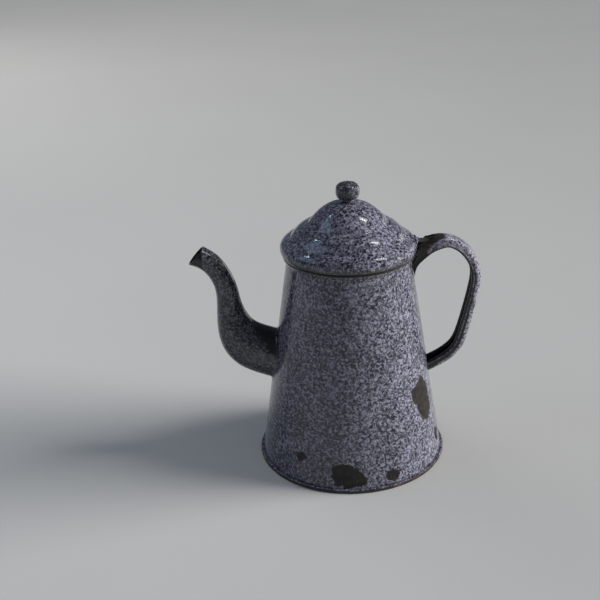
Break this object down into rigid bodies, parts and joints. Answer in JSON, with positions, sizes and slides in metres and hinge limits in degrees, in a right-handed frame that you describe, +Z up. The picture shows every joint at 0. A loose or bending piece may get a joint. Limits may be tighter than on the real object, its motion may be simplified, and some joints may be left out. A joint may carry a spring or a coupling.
{
  "type": "coffee percolator",
  "caption": "Tall conical enamelled stovetop percolator with gooseneck spout, strap handle, hinged domed lid and a lift-out pump and basket.",
  "frame": {"origin": "centre of the flat base, on the pot's axis, on the surface that it stands on", "axes": "+Z up along the pot's axis, +X towards the handle, -X towards the spout, Y across"},
  "size_m": [0.2426, 0.1624, 0.244],
  "materials": {
    "mottled_enamel": "glossy vitreous enamel, fine grey and blue-black speckle",
    "dark_enamel": "glossy blue-black enamel, worn to brown at the edge",
    "handle_enamel": "glossy enamel, speckled on the crown and black at the sides",
    "knob_enamel": "glossy black enamel with a few grey specks",
    "bare_steel": "dull, darkened",
    "aluminium": "spun, satin, lightly stained"
  },
  "bodies": {
    "pot": {"pot_shell": "mottled_enamel", "pot_bottom": "dark_enamel", "spout_near_half": "mottled_enamel", "spout_far_half": "mottled_enamel", "handle": "handle_enamel", "hinge_pin": "bare_steel"},
    "lid": {"lid_shell": "mottled_enamel", "lid_skirt": "dark_enamel", "knob": "knob_enamel", "knob_rivet": "bare_steel", "knob_washer": "bare_steel", "hinge_leaf": "mottled_enamel", "hinge_rivets": "mottled_enamel"},
    "pump": {"pump_tube": "aluminium", "pump_foot": "aluminium", "valve_seat": "aluminium", "tube_collar": "aluminium"},
    "valve": {"valve_disc": "aluminium"},
    "basket": {"coffee_basket": "aluminium", "basket_sleeve": "aluminium"},
    "spreader": {"spreader_lid": "aluminium"}
  },
  "joints": [
    {"name": "lid_hinge", "type": "hinge", "parent": "pot", "child": "lid", "pos_m": [0.065, 0, 0.1915], "axis": [0, 1, 0], "range_deg": [0, 110]},
    {"name": "pump_lift", "type": "slide", "parent": "pot", "child": "pump", "axis": [0, 0, 1], "range_m": [0, 0.012]},
    {"name": "valve_lift", "type": "slide", "parent": "pump", "child": "valve", "axis": [0, 0, 1], "range_m": [0, 0.002]},
    {"name": "basket_lift", "type": "slide", "parent": "pump", "child": "basket", "axis": [0, 0, 1], "range_m": [0, 0.012]},
    {"name": "spreader_lift", "type": "slide", "parent": "basket", "child": "spreader", "axis": [0, 0, 1], "range_m": [0, 0.01]}
  ]
}
